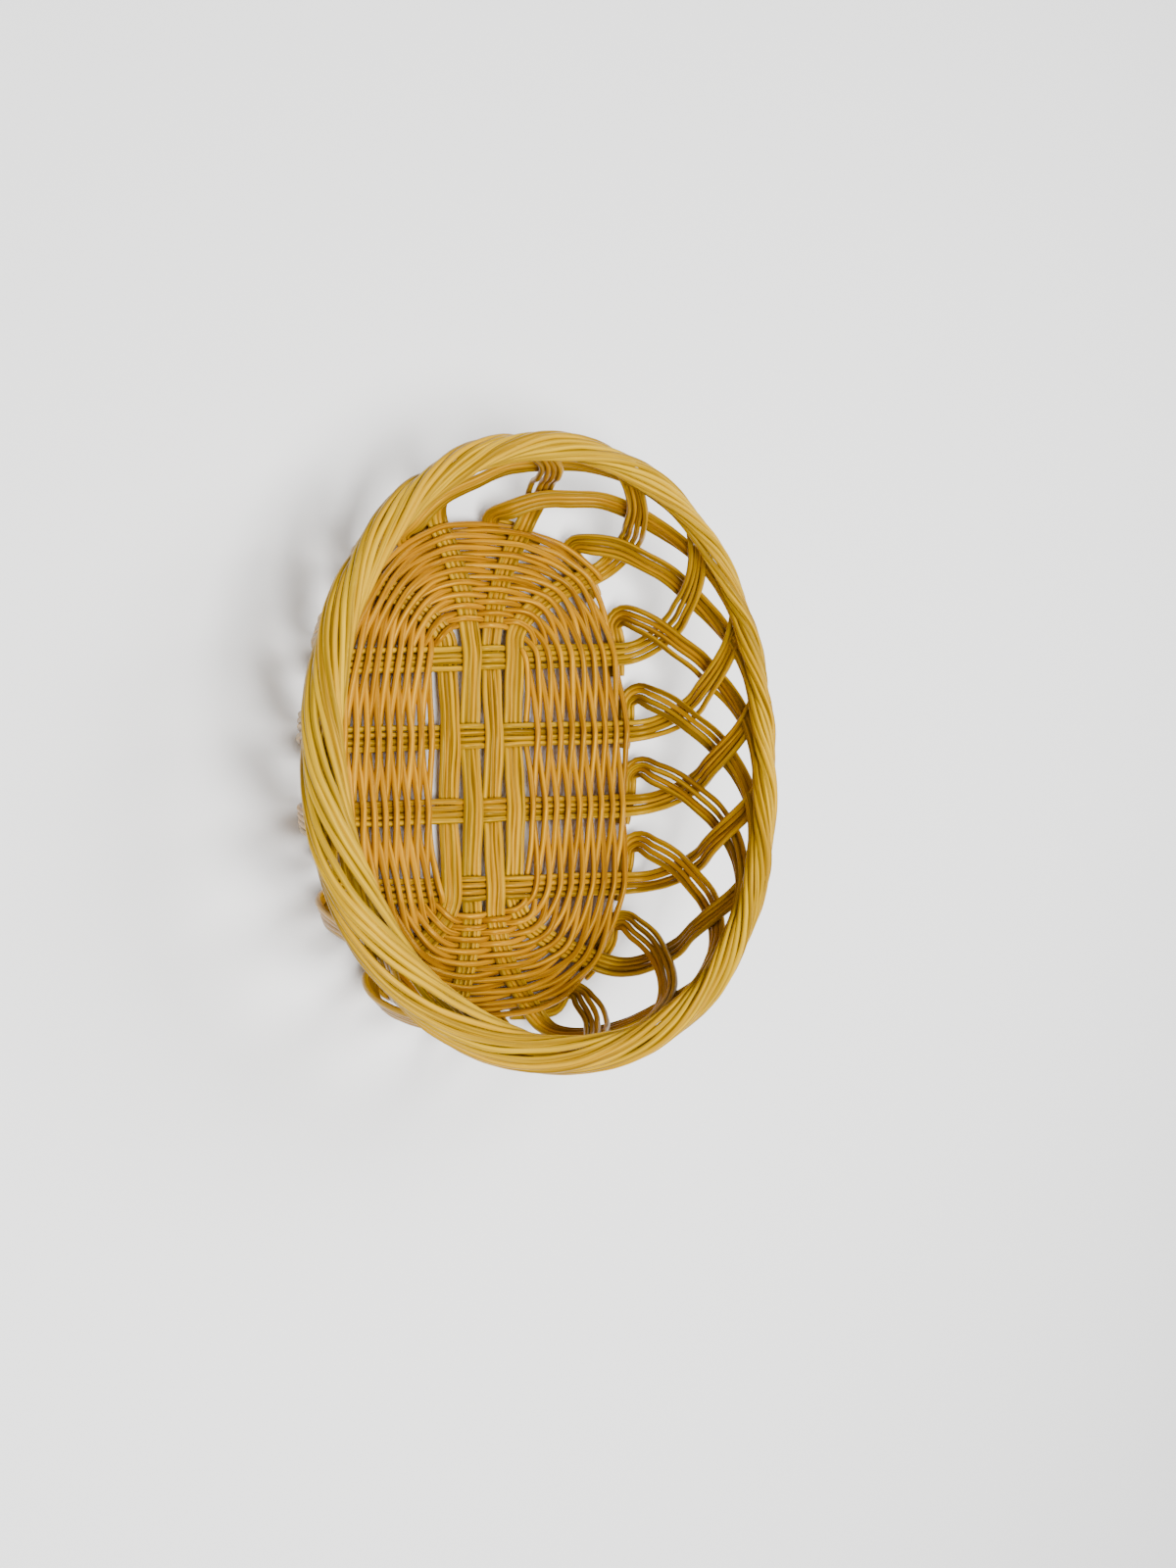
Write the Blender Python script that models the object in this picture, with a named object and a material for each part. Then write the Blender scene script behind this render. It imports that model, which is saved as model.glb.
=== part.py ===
"""Open-work oval willow basket.

Eight bundles of four rods make the frame.  Four run across the floor and four run along it,
so sixteen bundle ends leave the floor.  Each end climbs the wall as a riser, runs along the
rim as one strand of a three-strand rope, and comes back down as a return that tucks under
the edge of the floor.  Two thin weavers chase each other round the floor between the bundles.

Frame: +X along the oval, +Y across it, +Z up.  The origin is at the bottom centre of the whole.
"""
import bpy
import bmesh
from math import cos, pi, radians, sin
from mathutils import Vector

MM = 0.001

# Bundles of rods
BUNDLE_WIDTH = 10.8 * MM           # four rods side by side
LONG_WIDTH = 8.8 * MM              # the long floor bundles lie tighter
BUNDLE_THICK = 2.4 * MM
LAYER = 1.55 * MM                  # a bundle leaves the middle surface by this much at a crossing
GAP = 0.3 * MM                     # left between pieces that touch

# Floor
FLOOR_X = 121.5 * MM               # half length of the floor's edge
FLOOR_Y = 84.0 * MM                # half width of the floor's edge
FLOOR_POWER = 2.8                  # 2 is an ellipse, more is squarer
FLOOR_POWER_NEAR = 2.35            # the -Y side is rounder
FLOOR_CENTRE = (8.3 * MM, 4.85 * MM)     # the hand-made floor is a little off the rim's centre
CHECK_CENTRE_Y = -2.15 * MM        # and its check weave is off the floor's centre
FLOOR_Z = 7.0 * MM                 # middle of the floor's bundles
LONG_PITCH = 11.7 * MM             # between the bundles that run along X
STAKES = 16
CHECK_END = 3.6 * MM               # where a bundle is back at the floor's middle
FAN_STEPS = 6
FLOOR_TRIM = 1.6 * MM              # a floor bundle stops this short of the edge
STAKE_CROWD = 0.013                # stakes stand closer along the sides than round the ends
STAKE_SPREAD = 0.0095              # and wider on the floor's +Y side than on its -Y side

# Weavers
WEAVER = 2.0 * MM
WEAVER_TURNS = 9                   # of each of the two
WEAVE_IN_X = 71.0 * MM
WEAVE_IN_Y = 28.0 * MM
WEAVE_IN_POWER = 5.0
WEAVE_LIFT = 2.75 * MM             # of a weaver over or under a bundle

# Rim rope
RIM_X = 130.0 * MM                 # half axes of the rope's centre line
RIM_Y = 110.0 * MM
RIM_POWER = 2.1
RIM_CENTRE = (-1.7 * MM, 1.85 * MM)
RIM_PEAR = 0.017                   # how far the oval leans to a pear, as a part of its size
RIM_Z = 81.0 * MM
RIM_TILT = 7.0 * MM                # the +X end stands this much higher than the middle
ROPE_OUT = 6.95 * MM
ROPE_IN = 4.3 * MM
ROPE_STRANDS = 3
ROPE_START = radians(-100)         # where a strand enters the rope, 0 is the inner side
STRAND_ARC = radians(112)

# Wall
WALL_BULGE = 8.0 * MM
WALL_WAIST = 0.34                  # height of the bulge, as a part of the wall
WALL_TOP_DROP = 8.6 * MM           # from the rope's centre line to the top of the wall
RISER_LEAN = 0.55                  # pitches that a riser leans on its way up, on average
RISER_LEAN_MORE = 0.25             # and how much more at stake RISER_LEAN_PEAK
RISER_LEAN_PEAK = 3.5
RISER_FOOT = 0.05                  # height where a riser starts, as a part of the wall
RISER_STEPS = 8
RETURN_LEAN = 2.1                  # pitches that the return at RETURN_FIRST_FOOT leans,
RETURN_LEAN_STEP = 0.17            # and how much less each one further from it does
RETURN_FIRST_FOOT = -1.5
RETURN_FOOT = 0.13
RETURN_STEPS = 9
LEVEL_FROM = 0.78                  # from here up a bundle's section turns level
STRAND_SPAN = 3.0                  # pitches that a strand stays in the rope
FOOT_LAG = 5.5                     # pitches from a stake to the foot of its own return
SWAP_HALF = 0.04                   # half the height over which two layers change places
RIM_CROSSING = 0.88                # a second crossing above this is made at the rim
HAIRPIN = ((-0.09, 6.2 * MM, 7.6 * MM),  # the return's turn back into its tail: pitches from
           (-0.15, 4.0 * MM, 4.2 * MM))  # its foot, distance out of the floor's edge, height
TAIL_WIDTH = 6.0 * MM              # the rods draw together in the turn and the tail
TAIL_OUT = 1.0 * MM                # the tail's middle, outside the floor's edge
TAIL_SPAN = 0.72                   # pitches that a tail runs along the edge

YELLOW = (0.74, 0.47, 0.04, 1.0)
ORANGE = (0.90, 0.46, 0.02, 1.0)
PALE = (0.86, 0.60, 0.08, 1.0)


def clear_scene():
    for thing in list(bpy.data.objects):
        bpy.data.objects.remove(thing, do_unlink=True)


def varnished(name, colour):
    material = bpy.data.materials.new(name)
    material.use_nodes = True
    shader = material.node_tree.nodes["Principled BSDF"]
    shader.inputs["Base Color"].default_value = colour
    shader.inputs["Roughness"].default_value = 0.35
    shader.inputs["Metallic"].default_value = 0.0
    return material


def smooth(t):
    t = min(1.0, max(0.0, t))
    return t * t * (3.0 - 2.0 * t)


# ---------------------------------------------------------------- the oval

def oval_point(half_x, half_y, powers, pear, angle):
    """A point on a superellipse; the angle starts at -X and runs clockwise seen from above.
    powers are its powers on the +Y and the -Y side."""
    c, s = -cos(angle), sin(angle)
    power = powers[0] if s >= 0.0 else powers[1]
    scale = (abs(c / half_x) ** power + abs(s / half_y) ** power) ** (-1.0 / power)
    scale *= 1.0 + pear * sin(3.0 * angle)
    return Vector((c * scale, s * scale, 0.0))


def oval_table(half_x, half_y, powers, pear=0.0, steps=720):
    """Points round an oval, with the share of its length that lies before each."""
    points = [oval_point(half_x, half_y, powers, pear, 2.0 * pi * i / steps)
              for i in range(steps + 1)]
    run = [0.0]
    for a, b in zip(points, points[1:]):
        run.append(run[-1] + (b - a).length)
    return points, [r / run[-1] for r in run]


def at_share(table, share):
    """The point at a share (0 to 1, wrapping) of an oval's length."""
    points, shares = table
    share %= 1.0
    low, high = 0, len(shares) - 1
    while high - low > 1:
        mid = (low + high) // 2
        if shares[mid] <= share:
            low = mid
        else:
            high = mid
    t = (share - shares[low]) / (shares[high] - shares[low])
    return points[low].lerp(points[high], t)


FLOOR_TABLE = oval_table(FLOOR_X, FLOOR_Y, (FLOOR_POWER, FLOOR_POWER_NEAR))
RIM_TABLE = oval_table(RIM_X, RIM_Y, (RIM_POWER, RIM_POWER), RIM_PEAR)


def stake_share(u, spread):
    """Share of the oval's length at stake number u (stakes 1 to 4 are on the +Y side)."""
    x = (u + 1.5) / STAKES
    return x + STAKE_CROWD * sin(4.0 * pi * x) - spread * cos(2.0 * pi * x)


def floor_edge(u):
    point = at_share(FLOOR_TABLE, stake_share(u, STAKE_SPREAD))
    return point + Vector((*FLOOR_CENTRE, FLOOR_Z))


def rim_line(u):
    point = at_share(RIM_TABLE, stake_share(u, 0.0))
    return point + Vector((*RIM_CENTRE, RIM_Z + RIM_TILT * point.x / RIM_X))


def along(place, u, step=0.02):
    """Direction of growing u on a closed line."""
    return (place(u + step) - place(u - step)).normalized()


def outward(place, u):
    forward = along(place, u)
    return Vector((-forward.y, forward.x, 0.0)).normalized()


# ---------------------------------------------------------------- the wall

def wall_point(u, v):
    """The wall's middle surface: v is 0 at the floor's edge and 1 under the rope."""
    foot = floor_edge(u)
    top = rim_line(u) - Vector((0.0, 0.0, WALL_TOP_DROP))
    waist = foot.lerp(top, 0.5) + outward(floor_edge, u) * WALL_BULGE
    waist.z = foot.z + (top.z - foot.z) * WALL_WAIST
    return foot * (1 - v) ** 2 + waist * 2 * v * (1 - v) + top * v * v


def wall_normal(u, v):
    """Unit normal of the wall, towards the inside of the basket."""
    step = 0.02
    across = wall_point(u + step, v) - wall_point(u - step, v)
    up = wall_point(u, min(1.0, v + step)) - wall_point(u, max(0.0, v - step))
    return across.cross(up).normalized() * -1.0


def riser_u(stake, v):
    turn = 2.0 * pi * (stake - RISER_LEAN_PEAK) / STAKES
    return stake - (RISER_LEAN + RISER_LEAN_MORE * cos(turn)) * v * v


def return_u(foot, v):
    number = (foot - RETURN_FIRST_FOOT) % STAKES
    lean = RETURN_LEAN - RETURN_LEAN_STEP * min(number, STAKES - number)
    return foot + lean * (0.3 * v + 0.7 * v * v)


def meeting(stake, foot):
    """Height at which a riser and a return cross, a little above the wall at most."""
    low, high = 0.0, 1.1
    for _ in range(30):
        mid = (low + high) / 2
        if riser_u(stake, mid) > return_u(foot, mid):
            low = mid
        else:
            high = mid
    return low


def changes(crossings):
    """Heights where a bundle changes layers.  A riser lies behind the first return that it
    meets, before the second and behind the third, and a return before, behind and before
    its risers.  Neither changes where the second crossing is at the rim."""
    first, second, third = crossings
    if second > RIM_CROSSING:
        return ()
    return ((first + second) / 2, (second + third) / 2)


def riser_changes(stake):
    return changes([meeting(stake, stake - 0.5 - i) for i in range(3)])


def return_changes(foot):
    return changes([meeting(foot + 0.5 + i, foot) for i in range(3)])


def layer(v, swaps):
    """-1 at the foot, +1 between the two changes of layers and -1 again above them."""
    side = -1.0
    for swap, step in zip(swaps, (2.0, -2.0)):
        side += step * smooth((v - swap + SWAP_HALF) / (2.0 * SWAP_HALF))
    return side


def heights(low, steps, swaps):
    """Heights of a bundle's sections up the wall, with three more at each change of layers."""
    found = [low + (1.0 - low) * i / steps for i in range(steps + 1)]
    for swap in swaps:
        found = [v for v in found if abs(v - swap) > SWAP_HALF * 1.5 or v in (low, 1.0)]
        found += [v for v in (swap - SWAP_HALF, swap, swap + SWAP_HALF) if v < 0.985]
    return sorted(found)


# ---------------------------------------------------------------- meshes

def loft(name, rings, material, collection):
    """One closed solid from rings of points, each ring with as many points as the last."""
    shape = bmesh.new()
    loops = [[shape.verts.new(p) for p in ring] for ring in rings]
    size = len(loops[0])
    for one, two in zip(loops, loops[1:]):
        for i in range(size):
            j = (i + 1) % size
            shape.faces.new((one[i], one[j], two[j], two[i]))
    shape.faces.new(list(reversed(loops[0])))
    shape.faces.new(loops[-1])
    bmesh.ops.recalc_face_normals(shape, faces=shape.faces)
    bmesh.ops.triangulate(shape, faces=shape.faces)
    mesh = bpy.data.meshes.new(name)
    shape.to_mesh(mesh)
    shape.free()
    mesh.materials.append(material)
    thing = bpy.data.objects.new(name, mesh)
    collection.objects.link(thing)
    return thing


def ribbon(name, centres, normals, material, collection, width=BUNDLE_WIDTH, level=None,
           narrow=0):
    """A flat bundle along its middle line, its thickness along the given normals.
    level (0 to 1 for each centre) turns a leaning section until it lies level, and the
    last narrow sections are TAIL_WIDTH wide."""
    rings = []
    last = len(centres) - 1
    for i, centre in enumerate(centres):
        tangent = (centres[min(last, i + 1)] - centres[max(0, i - 1)]).normalized()
        side = tangent.cross(normals[i]).normalized()
        face = side.cross(tangent).normalized()
        if level and level[i] > 0.0:
            side -= tangent * (side.z / tangent.z) * level[i]
        half_w = side * (TAIL_WIDTH if i > last - narrow else width) / 2
        half_t = face * BUNDLE_THICK / 2
        rings.append([centre - half_w - half_t, centre + half_w - half_t,
                      centre + half_w + half_t, centre - half_w + half_t])
    return loft(name, rings, material, collection)


def spline(points, steps):
    """A smooth curve through the points (Catmull-Rom), with steps pieces between two."""
    ends = [points[0] * 2 - points[1]] + list(points) + [points[-1] * 2 - points[-2]]
    out = []
    for a, b, c, d in zip(ends, ends[1:], ends[2:], ends[3:]):
        for i in range(steps):
            t = i / steps
            out.append(0.5 * (2 * b + (c - a) * t + (2 * a - 5 * b + 4 * c - d) * t * t
                              + (3 * b - a - 3 * c + d) * t ** 3))
    out.append(points[-1].copy())
    return out


# ---------------------------------------------------------------- the floor

def cross_over(row, column):
    """True where the cross bundle lies over the long one in the check weave."""
    return (row + column) % 2 == 0


def check_stretch(centres, width, signs):
    """Knots (place, lift) through the check weave: level over each crossing bundle, and
    back at the floor's middle CHECK_END beyond the outer ones."""
    half = width / 2 + GAP
    knots = [(centres[0] - half - CHECK_END, 0.0)]
    for centre, sign in zip(centres, signs):
        knots.append((centre - half, sign * LAYER))
        knots.append((centre + half, sign * LAYER))
    knots.append((centres[-1] + half + CHECK_END, 0.0))
    return knots


def cross_x(row, y):
    """X of a cross bundle's straight middle line at a given y."""
    near, far = floor_edge(12 - row), floor_edge(1 + row)
    return near.x + (far.x - near.x) * (y - near.y) / (far.y - near.y)


def column_y(column):
    return CHECK_CENTRE_Y + (column - 1.5) * LONG_PITCH


def cross_line(row):
    """Middle line of a bundle across the floor, from the -Y edge to the +Y edge."""
    near, far = floor_edge(12 - row), floor_edge(1 + row)
    signs = [1 if cross_over(row, column) else -1 for column in range(4)]
    knots = check_stretch([column_y(c) for c in range(4)], LONG_WIDTH, signs)
    middle = [Vector((cross_x(row, y), y, FLOOR_Z + lift)) for y, lift in knots]
    steps = (0.0, 0.33, 0.67)
    out = [near.lerp(middle[0], t) for t in steps]
    out += middle
    out += [far.lerp(middle[-1], t) for t in reversed(steps)]
    out[0] -= (near - middle[0]).normalized() * FLOOR_TRIM
    out[-1] -= (far - middle[-1]).normalized() * FLOOR_TRIM
    return out


def fan(start, end):
    """A quarter turn of a long bundle from its straight part out to its stake."""
    knee = Vector((start.x + (end.x - start.x) * 0.45, start.y, FLOOR_Z))
    out = []
    for i in range(1, FAN_STEPS + 1):
        t = i / FAN_STEPS
        out.append(start * (1 - t) ** 2 + knee * 2 * t * (1 - t) + end * t * t)
    out[-1] -= (end - knee).normalized() * FLOOR_TRIM
    return out


def long_line(column):
    """Middle line of a bundle along the floor, from the -X edge to the +X edge.  It is
    straight through the check weave and fans out to its stakes at both ends."""
    y = column_y(column)
    signs = [-1 if cross_over(row, column) else 1 for row in range(4)]
    knots = check_stretch([cross_x(row, y) for row in range(4)], BUNDLE_WIDTH, signs)
    middle = [Vector((x, y, FLOOR_Z + lift)) for x, lift in knots]
    return (fan(middle[0], floor_edge(-3 + column))[::-1] + middle
            + fan(middle[-1], floor_edge(8 - column)))


def floor_bundles(material, collection):
    up = Vector((0.0, 0.0, 1.0))
    for i in range(4):
        line = cross_line(i)
        ribbon(f"cross_bundle_{i + 1}", line, [up] * len(line), material, collection)
        line = long_line(i)
        ribbon(f"long_bundle_{i + 1}", line, [up] * len(line), material, collection,
               width=LONG_WIDTH)


# ---------------------------------------------------------------- weavers

def round_shape(q):
    """Centre, half axes and powers of the weaving round at share q of the way out."""
    edge = WEAVER / 2 + GAP
    start = Vector((FLOOR_CENTRE[0], CHECK_CENTRE_Y, FLOOR_Z))
    return (start.lerp(Vector((*FLOOR_CENTRE, FLOOR_Z)), q),
            WEAVE_IN_X + (FLOOR_X - edge - WEAVE_IN_X) * q,
            WEAVE_IN_Y + (FLOOR_Y - edge - WEAVE_IN_Y) * q,
            [1.0 / ((1.0 - q) / WEAVE_IN_POWER + q / power)
             for power in (FLOOR_POWER, FLOOR_POWER_NEAR)])


def outside_round(point, q):
    """How far out a point is: 1 on the round at q."""
    centre, half_x, half_y, powers = round_shape(q)
    x = abs(point.x - centre.x) / half_x
    y = abs(point.y - centre.y) / half_y
    power = powers[0] if point.y >= centre.y else powers[1]
    return (x ** power + y ** power) ** (1.0 / power)


def stake_line(stake):
    """The floor bundle of a stake as a line from the middle of the floor to its edge."""
    if 1 <= stake <= 4:
        line = cross_line(stake - 1)
        return line[len(line) // 2:]
    if 5 <= stake <= 8:
        line = long_line(8 - stake)
        return line[len(line) // 2:]
    if 9 <= stake <= 12:
        line = cross_line(12 - stake)
    else:
        line = long_line(stake - 13)
    return line[:len(line) // 2 + 1][::-1]


STAKE_LINES = [stake_line(stake) for stake in range(1, STAKES + 1)]


def crossing(line, q):
    """Where a stake's line leaves the round at q, and the stake's direction there."""
    for a, b in zip(line, line[1:]):
        ra, rb = outside_round(a, q), outside_round(b, q)
        if ra <= 1.0 < rb:
            return a.lerp(b, (1.0 - ra) / (rb - ra)), (b - a).normalized()
    return line[-1].copy(), (line[-1] - line[-2]).normalized()


def on_round(point, q):
    centre = round_shape(q)[0]
    flat = Vector((point.x, point.y, FLOOR_Z))
    return centre + (flat - centre) / outside_round(flat, q)


def round_heading(place, q):
    """Direction of a round at a place on it, clockwise seen from above."""
    step = 0.5 * MM
    slope_x = outside_round(place + Vector((step, 0, 0)), q) - outside_round(place, q)
    slope_y = outside_round(place + Vector((0, step, 0)), q) - outside_round(place, q)
    return Vector((slope_y, -slope_x, 0.0)).normalized()


def weaver_points(late, first_sign):
    """Knots of one weaver: two at each stake, held over or under it, and one between.
    It runs late turns outside the other weaver."""
    knots = []
    total = WEAVER_TURNS * STAKES
    for step in range(total):
        q = (step / STAKES + late) / (WEAVER_TURNS + 0.5)
        stake = step % STAKES
        place, stake_heading = crossing(STAKE_LINES[stake], q)
        ahead = round_heading(place, q)
        width = BUNDLE_WIDTH if stake // 4 % 2 == 0 else LONG_WIDTH
        square = max(0.5, abs(ahead.cross(stake_heading).z))
        half = (width + WEAVER) / 2 / square + GAP
        lift = Vector((0, 0, WEAVE_LIFT * first_sign * (-1) ** step))
        knots.append((on_round(place - ahead * half, q) + lift, q))
        knots.append((on_round(place + ahead * half, q) + lift, q))
    points = [knots[0][0]]
    for (a, qa), (b, qb) in zip(knots, knots[1:]):
        if abs(a.z - b.z) > GAP and (a - b).length > 9 * MM:
            points.append(on_round(a.lerp(b, 0.5), (qa + qb) / 2))
        points.append(b)
    return points


def weaver(name, points, material, collection):
    curve = bpy.data.curves.new(name, "CURVE")
    curve.dimensions = "3D"
    curve.bevel_depth = WEAVER / 2
    curve.bevel_resolution = 0
    curve.use_fill_caps = True
    line = curve.splines.new("POLY")
    line.points.add(len(points) - 1)
    for knot, point in zip(line.points, points):
        knot.co = (point.x, point.y, point.z, 1.0)
    curve.materials.append(material)
    thing = bpy.data.objects.new(name, curve)
    collection.objects.link(thing)
    return thing


def weavers(material, collection):
    weaver("weaver_1", weaver_points(0.0, 1), material, collection)
    weaver("weaver_2", weaver_points(0.5, -1), material, collection)


# ---------------------------------------------------------------- wall and rim

def riser(stake, material, collection):
    centres, normals, level = [], [], []
    swaps = riser_changes(stake)
    for v in heights(RISER_FOOT, RISER_STEPS, swaps):
        u = riser_u(stake, v)
        normal = wall_normal(u, v)
        rise = smooth(v / 0.16)
        centres.append(wall_point(u, v) + normal * LAYER * layer(v, swaps) * rise)
        normals.append(normal)
        level.append(smooth((v - LEVEL_FROM) / (1.0 - LEVEL_FROM)))
    ribbon(f"riser_{stake:02d}", centres, normals, material, collection, level=level)


def tail_point(u):
    point = floor_edge(u) + outward(floor_edge, u) * TAIL_OUT
    point.z = BUNDLE_THICK / 2
    return point


def foot_return(stake, material, collection):
    """A return from under the rope down to its foot, and its tail under the floor's edge."""
    foot = stake - FOOT_LAG
    centres, normals = [], []
    level = []
    swaps = return_changes(foot)
    for v in reversed(heights(RETURN_FOOT, RETURN_STEPS, swaps)):
        u = return_u(foot, v)
        normal = wall_normal(u, v)
        centres.append(wall_point(u, v) - normal * LAYER * layer(v, swaps))
        normals.append(normal)
        level.append(smooth((v - LEVEL_FROM) / (1.0 - LEVEL_FROM)))
    keys = centres[-2:]
    for ahead, out, height in HAIRPIN:
        point = floor_edge(foot + ahead) + outward(floor_edge, foot + ahead) * out
        point.z = height
        keys.append(point)
    keys += [tail_point(foot + TAIL_SPAN * share) for share in (-0.12, 0.1, 0.35, 0.65, 1.0)]
    curve = spline(keys, 2)[3:]
    top = normals[-1]
    up = Vector((0.0, 0.0, 1.0))
    for i, point in enumerate(curve):
        point.z = max(point.z, BUNDLE_THICK / 2)
        centres.append(point)
        normals.append(top.lerp(up, smooth((i - 2) / 3)).normalized())
        level.append(0.0)
    ribbon(f"return_{stake:02d}", centres, normals, material, collection, level=level,
           narrow=len(curve) - 1)


def rope_strand(stake, material, collection):
    """One strand of the rope: an arc of its ring, turning once round over STRAND_SPAN."""
    rings = []
    steps = 15
    arc_steps = 2
    for i in range(steps + 1):
        share = i / steps
        u = stake - 1.0 - (STRAND_SPAN - 0.03) * share
        middle = ROPE_START - 2.0 * pi * share * (STRAND_SPAN - 0.03) / ROPE_STRANDS
        centre = rim_line(u)
        inner = outward(rim_line, u) * -1.0
        up = along(rim_line, u).cross(inner).normalized()
        if up.z < 0:
            up.negate()
        ring = []
        for radius, order in ((ROPE_OUT, range(arc_steps + 1)), (ROPE_IN, range(arc_steps, -1, -1))):
            for j in order:
                angle = middle + STRAND_ARC * (j / arc_steps - 0.5)
                ring.append(centre + (inner * cos(angle) + up * sin(angle)) * radius)
        rings.append(ring)
    loft(f"rim_strand_{stake:02d}", rings, material, collection)


def main():
    clear_scene()
    basket = bpy.data.collections.new("easter_basket")
    bpy.context.scene.collection.children.link(basket)
    frame = varnished("frame_rods", YELLOW)
    weave = varnished("weaver_rods", ORANGE)
    rim = varnished("rim_rods", PALE)
    floor_bundles(frame, basket)
    weavers(weave, basket)
    for stake in range(1, STAKES + 1):
        riser(stake, frame, basket)
        foot_return(stake, frame, basket)
        rope_strand(stake, rim, basket)


main()
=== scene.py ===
"""Looks of an oval open-work basket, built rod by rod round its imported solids.

Eight bundles of four varnished rods make the frame.  Each bundle is one continuous path:
tail, return, rim rope, riser, floor, riser, rim rope, return, tail.  The path is worked out
once, and its rods are then cut into the same pieces that the solids have.
"""

from collections import namedtuple
from math import cos, exp, pi, radians, sin

import bpy
import numpy as np
from mathutils import Matrix, Vector


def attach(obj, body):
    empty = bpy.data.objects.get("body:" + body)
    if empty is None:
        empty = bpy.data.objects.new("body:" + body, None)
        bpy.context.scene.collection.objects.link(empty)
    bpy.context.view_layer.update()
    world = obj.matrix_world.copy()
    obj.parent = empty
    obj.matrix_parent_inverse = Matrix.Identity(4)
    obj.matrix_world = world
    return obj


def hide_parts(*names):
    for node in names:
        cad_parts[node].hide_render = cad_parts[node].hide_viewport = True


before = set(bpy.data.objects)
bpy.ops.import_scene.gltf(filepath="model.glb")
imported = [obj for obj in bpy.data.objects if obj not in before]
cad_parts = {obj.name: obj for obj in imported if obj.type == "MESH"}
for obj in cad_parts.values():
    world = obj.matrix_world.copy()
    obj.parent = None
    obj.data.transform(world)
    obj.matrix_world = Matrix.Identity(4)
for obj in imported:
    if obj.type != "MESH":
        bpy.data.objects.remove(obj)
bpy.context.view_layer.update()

MM = 0.001
UP = Vector((0.0, 0.0, 1.0))
RODS = 4                           # in a bundle
STAKES = 16                        # bundle ends, numbered round the basket; u counts them
WEAVER_TURNS = 9

# The basket's plan, as the solids have it
FLOOR_X = 121.5 * MM
FLOOR_Y = 84.0 * MM
FLOOR_POWER = 2.8                  # 2 is an ellipse, more is squarer
FLOOR_POWER_NEAR = 2.35            # the -Y side is rounder
FLOOR_CENTRE = (8.3 * MM, 4.85 * MM)
FLOOR_Z = 7.0 * MM
RIM_X = 130.0 * MM
RIM_Y = 110.0 * MM
RIM_POWER = 2.1
RIM_CENTRE = (-1.7 * MM, 1.85 * MM)
RIM_PEAR = 0.017                   # how far the oval leans to a pear, as a part of its size
RIM_Z = 81.0 * MM
RIM_TILT = 7.0 * MM
STAKE_CROWD = 0.013                # stakes stand closer along the sides than round the ends
STAKE_SPREAD = 0.0095              # and wider on the floor's +Y side than on its -Y side

# Wall: v is 0 at the floor's edge and 1 under the rope
WALL_BULGE = 8.0 * MM
WALL_WAIST = 0.34                  # share of the height at which the bulge is
WALL_TOP_DROP = 8.6 * MM
RISER_LEAN = 0.55                  # pitches that a riser leans on its way up, on average
RISER_LEAN_MORE = 0.25             # and how much more at stake RISER_LEAN_PEAK
RISER_LEAN_PEAK = 3.5
RISER_FROM = 0.13
RISER_TO = 0.76
RISER_BELLY = 2.0 * MM             # a riser stands out this much more at its lower half
RISER_BELLY_TOP = 0.75
RETURN_LEAN = 2.1                  # pitches that the return at RETURN_FIRST_FOOT leans,
RETURN_LEAN_STEP = 0.17            # and how much less each one further from it does
RETURN_LEAN_EVEN = 0.3             # share of its lean that is even, and the rest grows upward
RETURN_FIRST_FOOT = -1.5
RETURN_FROM = 0.76
RETURN_TO = 0.18
RETURN_TUCK = 1.8 * MM             # a return's foot lies this much further in
RETURN_TUCK_BELOW = 0.42
RETURN_TUCK_BLEND = 0.25
RETURN_FAN = 0.22                  # and its rods are this much further apart
RETURN_FAN_BELOW = 0.55
RETURN_FAN_BLEND = 0.3
FOOT_LAG = 5.5                     # pitches from a stake to the foot of its own return
WALL_KEYS = 15
LAYER = 1.6 * MM                   # of a bundle over or under another
SWAP_HALF = 0.08                   # half the height in which a bundle changes its layer
RIM_CROSSING = 0.88                # crossings above this height do not count
MEETING_TOP = 1.1                  # nor are they looked for above this
RISER_SLIT_TOP = 0.9               # heights at which the slits between rods close
RETURN_SLIT_TOP = 1.1

# Foot: the sharp turn at the end of a return, and the tail under the floor's edge
TURN_RADIUS = 5.4 * MM
TURN_UP = 8.6 * MM                 # height of the turn's middle
TURN_AHEAD = 0.35                  # radii from the return's end to the turn's middle
TURN_KEYS = ((150, 0.6 * MM, 0.1), (185, 1.6 * MM, 0.35),
             (220, 3.6 * MM, 0.7), (255, 5.6 * MM, 0.95))    # degrees, inset, twist
TURN_SPREAD = 1.1                  # rod spacing at the turn's start
TURN_CLOSE = 0.25                  # and how much of it is lost over the twist
TAIL_FROM = 0.2
TAIL_TO = 0.75
TAIL_OUT = -1.6 * MM
TAIL_INWARD = 4.0 * MM
TAIL_SPREAD = 0.95
TAIL_STEPS = 6

# Floor: a check weave in the middle, from which the bundles fan out
CHECK_CENTRE_Y = -2.15 * MM
LONG_PITCH = 11.7 * MM             # between the bundles that run along X
CHECK_HALF = 0.42                  # half the flat of an over or under, in bundle widths
CHECK_EDGE = 0.86                  # lift at its edges and at its middle, in layers
CHECK_MIDDLE = 1.04
CROSS_OUT = 9.0 * MM
CROSS_SHARES = (0.0, 0.18, 0.36, 0.54, 0.72, 0.88)
FAN_KNEE = 0.52
FAN_SHARES = (0.14, 0.28, 0.42, 0.56, 0.7, 0.82, 0.92)
WEAVE_IN_X = 65.5 * MM             # half sizes of the weavers' first turn
WEAVE_IN_Y = 25.0 * MM
WEAVE_IN_CENTRE_Y = -1.5 * MM
WEAVE_IN_POWER = 5.0
WEAVE_EDGE_GAP = 0.1 * MM
WEAVE_LIFT = 2.9 * MM
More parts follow.
